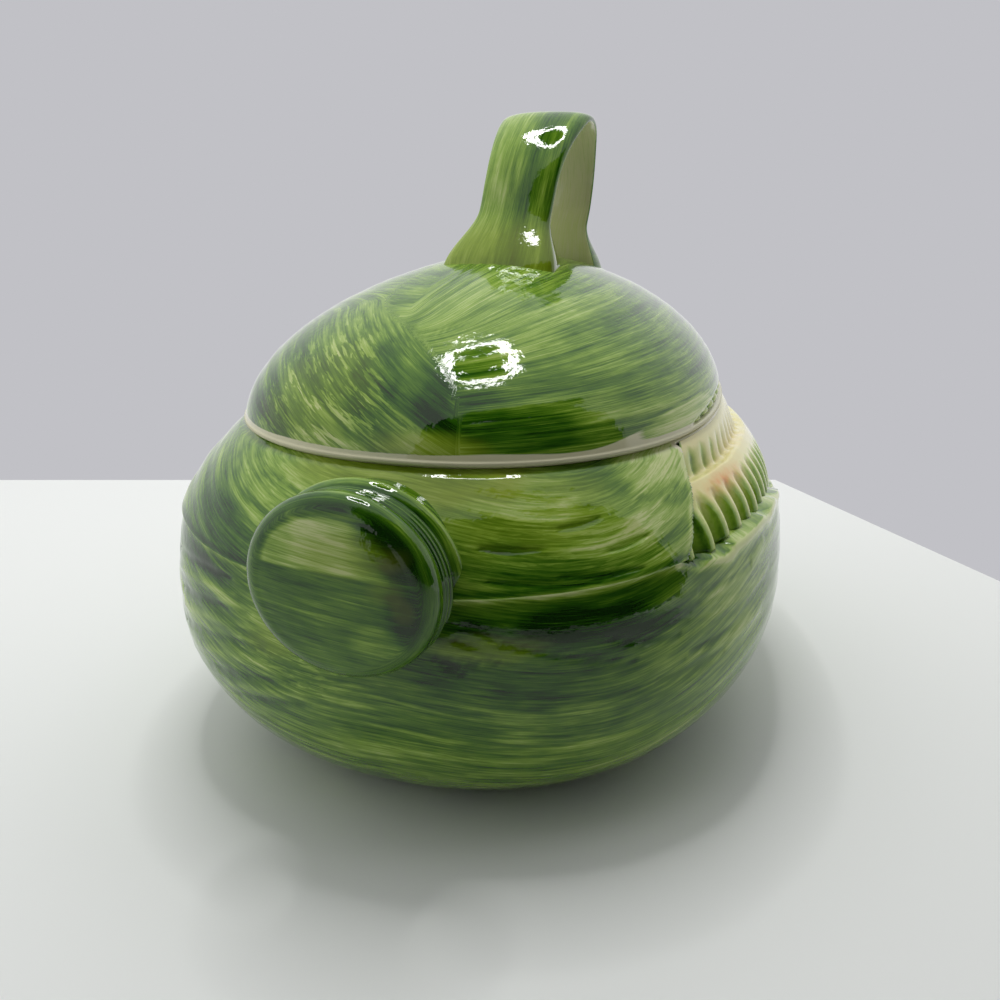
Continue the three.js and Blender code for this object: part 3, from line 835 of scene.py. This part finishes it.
def kernel_paint(x, across, up):
    """Green lies in the creases and most of all near the stalk, and orange on a few kernels there. Green also
    paints shade: on each kernel's side towards the stalk, with a painted highlight along its far outline, and
    in a dark strip along the near end.
    """
    along = x - WINDOW_CENTRE
    low = 1 - fullness(along, KERNEL_PITCH)
    high = 1 - fullness(along, HIGH_KERNEL_PITCH)
    phase = along / KERNEL_PITCH - np.floor(along / KERNEL_PITCH)
    share = np.clip(up / CREST_END, 0, 1)
    near = smooth(-66, -74, x)
    # Painted shade on each kernel's side towards the stalk, and a painted highlight along its far outline
    painted_shade_and_highlight = 0.45 * hill(phase - 0.28, 0.13) - 0.22 * hill(phase - 0.62, 0.12)
    green = 0.1 + 0.14 * smooth(0.7, 0.05, share) + (0.1 * low + painted_shade_and_highlight) * smooth(1.0, 0.6, share) + 0.14 * near
    green = green + 0.12 * smooth(-50, -64, x) * smooth(1.0, 0.5, share)
    fingers = smooth(0.98, 0.86, up) * smooth(CREST_END, CREST_END + 0.07, up) * smooth(20, -50, x)
    upper = 0.14 + 0.6 * high * fingers + 0.42 * smooth(-20, -62, x) * fingers
    green = blend(green, upper, smooth(CREST_END - 0.03, CREST_END + 0.04, up))
    green = green - 0.3 * hill(share - 0.97, 0.16) * (1 - 0.4 * near)
    # Painted shade: a dark green strip along the kernels' near end, in the gap beside the husk
    green = green + 0.9 * smooth(0.012, 0.003, across)
    blush = 1.4 * hill(x + 50, 15) * hill(share - 0.78, 0.14) + 0.3 * hill(x + 5, 34) * hill(up - 0.72, 0.1)
    return {"green": green.ravel(), "blush": blush.ravel()}


def bowl_kernels(side, name, node):
    across, up = np.meshgrid(np.linspace(0, 1, KERNEL_COLUMNS), np.linspace(-0.06, 1, KERNEL_ROWS))
    x, z = window_place(across, up)
    out = corn_surface(x, up) - FAR_END_SINK * smooth(0.94, 1, across)
    points = wall_point(x, z, out, side).reshape(-1, 3)
    values = kernel_paint(x, across, up)
    make(name, points, side_faces(x.shape, side), "bowl", [node], [kernel_glaze], values)


bowl_kernels(-1, "corn_right", "bowl_kernels_right")
bowl_kernels(1, "corn_left", "bowl_kernels_left")


# Cut stalk. Patches on its face: place to the right and up, half sizes and amount.
STALK_PATCHES = [
    (12, 70, 7, 6, 0.14), (-4, 77, 9, 7, 0.03), (20, 86, 6, 16, -0.28), (17, 98, 9, 8, -0.3),
    (0, 107, 20, 3.5, -0.28), (-16, 98, 5, 9, -0.14), (-10, 66, 8, 6, -0.06), (20, 74, 3, 6, -0.1),
]
STALK_POOLS = [(19, 80, 3, 3.5, 0.15), (6, 93, 14, 5, 0.3), (15, 85, 5, 4, 0.2)]


def stalk_profile():
    """Radius and depth from the middle of the face, over its rounded edge and along the grooved side."""
    flat = STALK_RADIUS - STALK_EDGE_ROUND
    profile = []
    for share in np.linspace(0.01, 1, 60):
        profile.append((flat * share, -STALK_CROWN * (1 - share**STALK_CROWN_FLATNESS)))
    for turn in np.linspace(0, np.pi / 2, 12)[1:]:
        profile.append((flat + STALK_EDGE_ROUND * math.sin(turn), STALK_EDGE_ROUND * (1 - math.cos(turn))))
    for depth in np.linspace(STALK_EDGE_ROUND, STALK_LENGTH, 120)[1:]:
        groove = sum(hill(depth - centre, STALK_GROOVE_SPREAD) for centre in STALK_GROOVES)
        flare = STALK_FLARE * hill(depth - STALK_FLARE_DEPTH, STALK_FLARE_SPREAD)
        profile.append((STALK_RADIUS - STALK_GROOVE_DEPTH * groove + flare, depth))
    return np.array(profile)


def face_paint(right, up):
    """The stalk's face is lighter in its middle, above a crisp line that is a little tilted."""
    edge = up + 0.03 * right
    light = smooth(87.7, 88.7, edge) * smooth(1.05, 0.93, np.hypot((right + 1) / 19, (up - 89) / 13))
    light = light * smooth(20, 2, right)
    line = 0.14 * hill(edge - 88.0, 0.45) * (right < 16)
    return patches(right, up, STALK_PATCHES) - 0.15 + 0.5 * light + line


def stalk_piece():
    profile = stalk_profile()
    radius, depth = profile[:, :1], profile[:, 1:]
    angle = np.linspace(0, 2 * np.pi, STALK_SIDES, endpoint=False)[None]
    x = -(BOWL_LENGTH / 2 + STALK_REACH) + depth + 0 * angle
    y = STALK_BROADNESS * radius * np.cos(angle)
    z = STALK_HEIGHT - STALK_CLIMB * depth + radius * np.sin(angle)
    points, faces = closed_loft(list(np.stack([x, y, z], -1)))
    inwards = np.concatenate([(depth + 0 * angle).ravel(), [0, STALK_LENGTH]])
    right, up = -points[:, 1], points[:, 2]
    face = smooth(2, 0.4, inwards)
    groove = sum(hill(inwards - centre, 0.8) for centre in STALK_GROOVES)
    side = -0.16 - 0.2 * groove + 0.3 * hill(inwards - STALK_FLARE_DEPTH, 1.6)
    side = side + 0.2 * hill(inwards - 10.7, 0.5)
    turned = np.arctan2(up - STALK_HEIGHT, right) * STALK_RADIUS
    s = blend(turned, right, face)
    t = blend(inwards, up + 0.125 * right, face)
    values = {"flow": np.stack([s, 0 * s, t], -1), "shade": blend(side, face_paint(right, up), face),
              "pool": face * patches(right, up, STALK_POOLS)}
    make("cut_stalk", points, faces, "bowl", ["stalk_stub"], [stalk_glaze], values)


stalk_piece()


# Lid
def lid_window_arch(across):
    """Height of the low opening at the lid's edge, at a share of its length."""
    return LID_WINDOW_HEIGHT * np.maximum(LID_WINDOW_END, np.sin(np.pi * across)) ** LID_WINDOW_FULLNESS


def lid_window_mask(x, z):
    arch = lid_window_arch(np.clip(x / LID_WINDOW_LENGTH + 0.5, 0, 1))
    above = z - LID_WINDOW_LOW
    return smooth(-0.1, 0.6, np.minimum(np.minimum(arch - above, above), LID_WINDOW_LENGTH / 2 - np.abs(x)))


# Patches on the lid, given as the bowl's are. They are partly the glaze's own tone and partly painted dark
# reflection across the lid's front middle.
LID_PATCHES = [
    (-38, 123, 22, 14, -0.02), (-60, 114, 20, 6, -0.24), (-12, 128, 12, 10, -0.22), (10, 124, 14, 8, -0.2),
    (30, 141, 70, 9, 0.12), (50, 114, 24, 6, -0.28), (24, 123, 18, 6, -0.2), (15, 112, 16, 3, 0.2),
    (27, 118, 13, 8, -0.06), (-62, 130, 40, 12, -0.07), (-50, 114, 30, 6, -0.05), (80, 118, 34, 3, 0.12),
    (92, 115, 20, 3, -0.1), (95, 132, 50, 10, -0.02), (-85, 130, 30, 14, -0.08), (200, 130, 60, 16, -0.1),
    (300, 125, 60, 14, 0.08), (-200, 130, 80, 14, 0.06),
]
LID_POOLS = [(15, 111, 22, 4, 0.45), (-38, 122, 24, 14, 0.2)]
LID_FLECKS = [(-40, 122, 30, 17, 0.34), (-8, 115, 18, 8, 0.2)]


def lid_edge_rings(angle):
    """The lid's bare edge, rounded below and above."""
    proud = SHOULDER_INSET - LID_EDGE_PROUD
    return [ring(angle, SHOULDER_INSET + LID_EDGE_ROUND - 0.4, LID_BASE),
            ring(angle, SHOULDER_INSET + 0.05, LID_BASE + 0.2),
            ring(angle, proud + 0.1, LID_BASE + 0.5),
            ring(angle, proud, LID_BASE + 0.9),
            ring(angle, proud, LID_BASE + LID_EDGE_BAND - 0.3),
            ring(angle, SHOULDER_INSET - 0.3, LID_BASE + LID_EDGE_BAND)]


def dome_rows(angle):
    rows = []
    start = math.asin(LID_EDGE_BAND * 1.1 / LID_RISE)
    for row in range(DOME_ROWS):
        up = math.sin(blend(start, math.pi / 2, (row / DOME_ROWS) ** DOME_ROW_CROWDING))
        rows.append(ring(angle, SHOULDER_INSET, LID_BASE + LID_RISE * up, dome_share(up)))
    return np.stack(rows)


def lid_flange_rings(angle):
    """Rings in along the lid's seat, and down and up round the ring that drops into the bowl."""
    inset = MOUTH_INSET + FLANGE_CLEARANCE
    return [ring(angle, SHOULDER_INSET + 1, LID_BASE), ring(angle, inset, LID_BASE),
            ring(angle, inset, LID_BASE - FLANGE_DEPTH),
            ring(angle, inset + FLANGE_WALL, LID_BASE - FLANGE_DEPTH),
            ring(angle, inset + FLANGE_WALL / 2, LID_BASE + FLANGE_WALL)]


def lid_hollow_rings(angle):
    rings = []
    for row in range(2, INSIDE_ROWS):
        up = math.sin((row / INSIDE_ROWS) * (math.pi / 2))
        height = LID_BASE + (LID_RISE - LID_WALL) * up
        rings.append(ring(angle, SHOULDER_INSET + LID_WALL, height, dome_share(up)))
    return rings


def lid_piece():
    angle = bowl_angles()
    plain = dome_rows(angle)
    x, y, z = axes(plain)
    s = perimeter(x, y)
    low = z - LID_BASE
    place = lid_flow(plain)
    relief = veins(place[..., 0], place[..., 2])
    relief = blend(0.5, relief, smooth(0.5, 4, np.abs(y - lid_seam(x))))
    window = lid_window_mask(x, z)
    fade = smooth(2, 10, low) * (1 - window) * (1 - smooth(0.96, 0.999, low / LID_RISE))
    moved = (relief - 0.5) * LID_RELIEF * fade - LID_WINDOW_DEPTH * window
    dome = plain + normals_of(plain) * moved[..., None]

    # The clay is bare along the edge, up to a wavy line, and thinly glazed where the bare wedge rises
    height = axes(dome)[2]
    wedge = 6 * smooth(70, 125, s) * smooth(175, 140, s)
    reach = 2.6 + 1.2 * noise(s / 26, 0.3, 5) + wedge
    bare = smooth(reach + 0.6, reach - 0.6, low)
    thin = smooth(2.2, 3.4, low) * smooth(1, 4, wedge) * bare
    light = patches(s, height, LID_PATCHES) + 0.1 * hill(low - reach - 1.2, 1.6) + 0.4 * thin
    painted = {"vein": relief, "shade": light, "bare": bare * (1 - thin),
               "pool": patches(s, height, LID_POOLS), "fleck": patches(s, height, LID_FLECKS)}

    hollow = lid_hollow_rings(angle)
    below = (lid_flange_rings(angle) + hollow)[::-1] + lid_edge_rings(angle)
    grid = below + list(dome)
    points, faces = closed_loft(grid)
    own = slice(len(below) * COLUMNS, len(grid) * COLUMNS)
    values = {"flow": lid_flow(points), **shell_values(points, painted, own)}
    values["bare"][:own.start] = 1
    row_of = np.arange(len(grid) - 1).repeat(COLUMNS)
    slots = np.where(row_of < len(hollow), INSIDE, np.where(row_of < len(below) - 1, BARE, GLAZED))
    slots = np.concatenate([slots, np.tile([INSIDE, GLAZED], COLUMNS)])
    make("husk_lid", points, faces, "lid", ["lid"], shell_materials, values, slots)


lid_piece()


def lid_kernels(side, name, node):
    across, up = np.meshgrid(np.linspace(0, 1, LID_KERNEL_COLUMNS), np.linspace(0, 1, LID_KERNEL_ROWS))
    x = blend(-1, 1, across) * (LID_WINDOW_LENGTH / 2 - 0.3)
    z = blend(LID_WINDOW_LOW + WINDOW_MARGIN, LID_WINDOW_LOW + lid_window_arch(across) - WINDOW_MARGIN, up)
    rise = fullness(x, KERNEL_PITCH) * np.sin(np.pi * up)
    points = dome_point(x, z, LID_KERNEL_RISE * rise - LID_COB_DEPTH, side).reshape(-1, 3)
    green = 0.3 + 0.5 * (1 - fullness(x, KERNEL_PITCH)) + 0.2 * smooth(0.5, 0, up)
    values = {"green": green.ravel(), "blush": np.zeros(len(points))}
    make(name, points, side_faces(x.shape, side), "lid", [node], [kernel_glaze], values)


lid_kernels(-1, "lid_corn_right", "lid_kernels_right")
lid_kernels(1, "lid_corn_left", "lid_kernels_left")


# Loop handle. The strap's middle line: along and up, as shares of half its span and of its rise.
LOOP_SHARES = [
    (-1.5, -0.24), (-1.22, 0.14), (-1.05, 0.34), (-0.93, 0.53), (-0.76, 0.7),
    (-0.45, 0.87), (0.03, 1), (0.53, 0.94), (0.84, 0.76), (1, 0.54), (0.98, 0.31),
    (0.8, 0.1), (0.74, -0.28),
]


def dome_height(x, y):
    """Height of the lid's outside over a place near its middle."""
    along = np.abs(x) / (BOWL_LENGTH / 2 - SHOULDER_INSET)
    aside = np.abs(y) / (BOWL_WIDTH / 2 - SHOULDER_INSET)
    share = np.hypot(along, aside)
    return LID_BASE + LID_RISE * (1 - np.minimum(share, 1) ** DOME_ROUNDNESS) ** (1 / DOME_FLATNESS)


def smooth_curve(points, count):
    """Evenly spaced places on a centripetal curve through the points."""
    points = np.array(points, float)
    points = np.concatenate([[2 * points[0] - points[1]], points, [2 * points[-1] - points[-2]]])
    steps = np.linalg.norm(np.diff(points, axis=0), axis=1) ** 0.5
    knots = np.concatenate([[0], np.cumsum(steps)])
    places = []
    for i in range(1, len(points) - 2):
        t = np.linspace(knots[i], knots[i + 1], 40, endpoint=False)[:, None]
        p, k = points[i - 1:i + 3], knots[i - 1:i + 3]
        a = [((k[j + 1] - t) * p[j] + (t - k[j]) * p[j + 1]) / (k[j + 1] - k[j]) for j in range(3)]
        b = [((k[j + 2] - t) * a[j] + (t - k[j]) * a[j + 1]) / (k[j + 2] - k[j]) for j in range(2)]
        places.append(((k[2] - t) * b[0] + (t - k[1]) * b[1]) / (k[2] - k[1]))
    dense = np.concatenate(places + [points[-2][None]])
    length = np.concatenate([[0], np.cumsum(np.linalg.norm(np.diff(dense, axis=0), axis=1))])
    even = np.linspace(0, length[-1], count)
    return np.stack([np.interp(even, length, dense[:, i]) for i in range(3)], -1)


def loop_line():
    """Places along the strap's middle."""
    top = LID_BASE + LID_RISE
    rise = LOOP_RISE - STRAP_THICKNESS / 2 - LOOP_LOWER
    path = []
    for along, up in LOOP_SHARES:
        x = LOOP_CENTRE + along * (LOOP_SPAN - STRAP_THICKNESS) / 2
        path.append((x, LOOP_OFFSET + up * LOOP_SWAY, top + up * rise))
    return smooth_curve(path, STRAP_STEPS)


def handle_piece():
    centre = loop_line()
    ahead = np.gradient(centre, axis=0)
    ahead = ahead / np.linalg.norm(ahead, axis=1, keepdims=True)
    out = np.stack([-ahead[:, 2], 0 * ahead[:, 0], ahead[:, 0]], -1)
    along = np.linspace(0, 1, len(centre))[:, None]
    foot = np.abs(2 * along - 1) ** STRAP_FOOT_SHARPNESS
    width = STRAP_WIDTH + (STRAP_CREST_WIDTH - STRAP_WIDTH) * hill(along - 0.5, STRAP_CREST_SPREAD)
    width = width + (STRAP_FOOT_WIDTH - STRAP_WIDTH) * foot
    thickness = blend(STRAP_THICKNESS, STRAP_FOOT_THICKNESS, foot)
    angle = np.linspace(0, 2 * np.pi, STRAP_SIDES, endpoint=False)[None]
    c, s = np.cos(angle), np.sin(angle)
    across = width / 2 * np.sign(c) * np.abs(c) ** STRAP_SQUARENESS
    share = np.where(s > 0, STRAP_OUTSIDE_SHARE, STRAP_INSIDE_SHARE)
    up = thickness * share * np.sign(s) * np.abs(s) ** STRAP_SQUARENESS
    grid = centre[:, None] + out[:, None] * up[..., None]
    grid[..., 1] += across

    # The feet flare where they meet the lid
    above = grid[..., 2] - dome_height(grid[..., 0], grid[..., 1])
    flare = FOOT_FLARE * smooth(FOOT_FLARE_HEIGHT, -2, above)
    grid = grid + out[:, None] * (flare * np.sign(up))[..., None]
    grid[..., 1] += flare * across / width * 2
    points, faces = closed_loft(list(grid))

    # Glaze: streaks along the outside, and a pale inside, paler still towards the back foot, where that extra
    # lightness is painted light in the shade of the arch
    inner = np.concatenate([np.broadcast_to(s < -0.2, up.shape).ravel(), [0, 0]]).astype(float)
    length = np.concatenate([(along * STRAP_LENGTH + 0 * angle).ravel(), [0, STRAP_LENGTH]])
    aside = np.concatenate([across.ravel(), [0, 0]])
    side = np.concatenate([(across / width * 2).ravel(), [0, 0]])
    way = length / STRAP_LENGTH
    shade = 0.1 + 0.1 * hill(side - 0.6, 0.3) - 0.32 * hill(side + 0.3, 0.26) - 0.25 * hill(side + 0.95, 0.12)
    # Painted light: the inside is lightened towards the back foot, standing in for the glaze's highlights
    # there
    back = inner * smooth(0.7, 0.92, way)
    pool = 0.5 * smooth(0.2, 0.1, way) * (1 - inner) + 0.22 * inner
    values = {"flow": np.stack([length, 0 * length, aside], -1),
              "shade": shade * (1 - inner) + 0.42 * inner + 0.5 * back,
              "pool": pool - 0.1 * back, "bare": 0.6 * inner - 0.2 * back}
    make("strap_loop", points, faces, "lid", ["loop_handle"], [handle_glaze], values)


handle_piece()


# Camera, at the photograph's angle
CAMERA_PLACE = (-340.756, -114.084, 182.387)
CAMERA_YAW = 0.332
CAMERA_PITCH = 0.321
CAMERA_ROLL = 0.008
CAMERA_LENS = 36
CAMERA_SENSOR = 36


def make_camera():
    level = math.cos(CAMERA_PITCH)
    ahead = np.array([math.cos(CAMERA_YAW) * level, math.sin(CAMERA_YAW) * level, -math.sin(CAMERA_PITCH)])
    right = np.array([math.sin(CAMERA_YAW), -math.cos(CAMERA_YAW), 0])
    down = np.cross(ahead, right)
    turned = math.cos(CAMERA_ROLL) * right + math.sin(CAMERA_ROLL) * down
    fallen = -math.sin(CAMERA_ROLL) * right + math.cos(CAMERA_ROLL) * down
    data = bpy.data.cameras.new("camera")
    data.lens = CAMERA_LENS
    data.sensor_width = CAMERA_SENSOR
    data.clip_start = 0.01
    camera = bpy.data.objects.new("camera", data)
    matrix = np.eye(4)
    matrix[:3, 0] = turned
    matrix[:3, 1] = -fallen
    matrix[:3, 2] = -ahead
    matrix[:3, 3] = (np.array(CAMERA_PLACE) + [PLAN_SHIFT, 0, 0]) * MM
    camera.matrix_world = mathutils.Matrix(matrix.tolist())
    bpy.context.scene.collection.objects.link(camera)
    bpy.context.scene.camera = camera


make_camera()


# Table, light and surroundings, in metres
TABLE_CORNERS = [(-0.35, 1.88, 0), (-2.9, 1.1, 0), (-2.1, -2.08, 0), (0.27, -0.083, 0)]
TABLE = linear(228, 230, 227)
BACKDROP = linear(193, 193, 198)
AIR = linear(250, 250, 252)
AIR_STRENGTH = 0.93

# Dark boards in front, overhead and behind the lamp's hole. The glaze mirrors them, and the camera
# doesn't see them.
BOARD = linear(20, 20, 20)
BOARD_REACH = 0.62
BOARD_TOP = 0.96
BOARD_START = math.radians(-92)
BOARD_END = math.radians(-192)


def flat_stage(name, corners, colour, roughness):
    mesh = bpy.data.meshes.new(name)
    mesh.from_pydata(corners, [], [tuple(range(len(corners)))])
    board = bpy.data.objects.new(name, mesh)
    bpy.context.scene.collection.objects.link(board)
    material, _, shader = new_material(name)
    shader.inputs["Base Color"].default_value = colour
    shader.inputs["Roughness"].default_value = roughness
    mesh.materials.append(material)
    return board


def dark_board(name, corners):
    board = flat_stage(name, corners, BOARD, 0.9)
    board.visible_camera = False


def dark_boards():
    turns = np.linspace(BOARD_START, BOARD_END, 9)
    outer = [(BOARD_REACH * math.cos(a), BOARD_REACH * math.sin(a)) for a in turns]
    for (x0, y0), (x1, y1) in zip(outer, outer[1:]):
        dark_board("dark_side", [(x0, y0, 0.001), (x1, y1, 0.001), (x1, y1, BOARD_TOP), (x0, y0, BOARD_TOP)])
    dark_board("dark_top", [(x, y, BOARD_TOP) for x, y in outer])


def ring_lamp(place, inner, outer, stretch, strength):
    """A glowing oval ring overhead, drawn out away from the camera, which the glaze mirrors."""
    angle = np.linspace(0, 2 * np.pi, LAMP_SIDES, endpoint=False)

    def rim(radius, up):
        ahead, aside = stretch * radius * np.cos(angle), radius * np.sin(angle)
        x = place[0] + ahead * math.cos(CAMERA_YAW) - aside * math.sin(CAMERA_YAW)
        y = place[1] + ahead * math.sin(CAMERA_YAW) + aside * math.cos(CAMERA_YAW)
        return np.stack([x, y, np.full(LAMP_SIDES, place[2] + up)], -1).tolist()

    mesh = bpy.data.meshes.new("ring_lamp")
    quads = [(i, (i + 1) % LAMP_SIDES, LAMP_SIDES + (i + 1) % LAMP_SIDES, LAMP_SIDES + i)
             for i in range(LAMP_SIDES)]
    mesh.from_pydata(rim(inner, 0) + rim(outer, 0), [], quads)
    lamp = bpy.data.objects.new("ring_lamp", mesh)
    bpy.context.scene.collection.objects.link(lamp)
    material, _, shader = new_material("ring_lamp")
    shader.inputs["Base Color"].default_value = (0, 0, 0, 1)
    shader.inputs["Emission Color"].default_value = (1, 1, 1, 1)
    shader.inputs["Emission Strength"].default_value = strength
    mesh.materials.append(material)
    lamp.visible_camera = False
    dark_board("lamp_hole", rim(inner, 0.002))


def make_world():
    """The air lights the scene evenly, and the camera sees a grey backdrop in its place."""
    world = bpy.data.worlds.new("room")
    world.use_nodes = True
    bpy.context.scene.world = world
    tree = world.node_tree
    back = tree.nodes["Background"]
    back.inputs["Color"].default_value = AIR
    back.inputs["Strength"].default_value = AIR_STRENGTH
    seen = socket(tree, "ShaderNodeBackground", {"Color": BACKDROP, "Strength": 1.0})
    path = socket(tree, "ShaderNodeLightPath")
    shaders = {0: path.outputs["Is Camera Ray"], 1: back.outputs[0], 2: seen.outputs[0]}
    both = socket(tree, "ShaderNodeMixShader", shaders)
    tree.links.new(both.outputs[0], tree.nodes["World Output"].inputs["Surface"])


flat_stage("table", TABLE_CORNERS, TABLE, 0.5)
dark_boards()
ring_lamp(place=(0.115, 0.085, 0.9), inner=0.11, outer=0.144, stretch=1.45, strength=27)
make_world()

bpy.context.scene.view_settings.view_transform = "Standard"
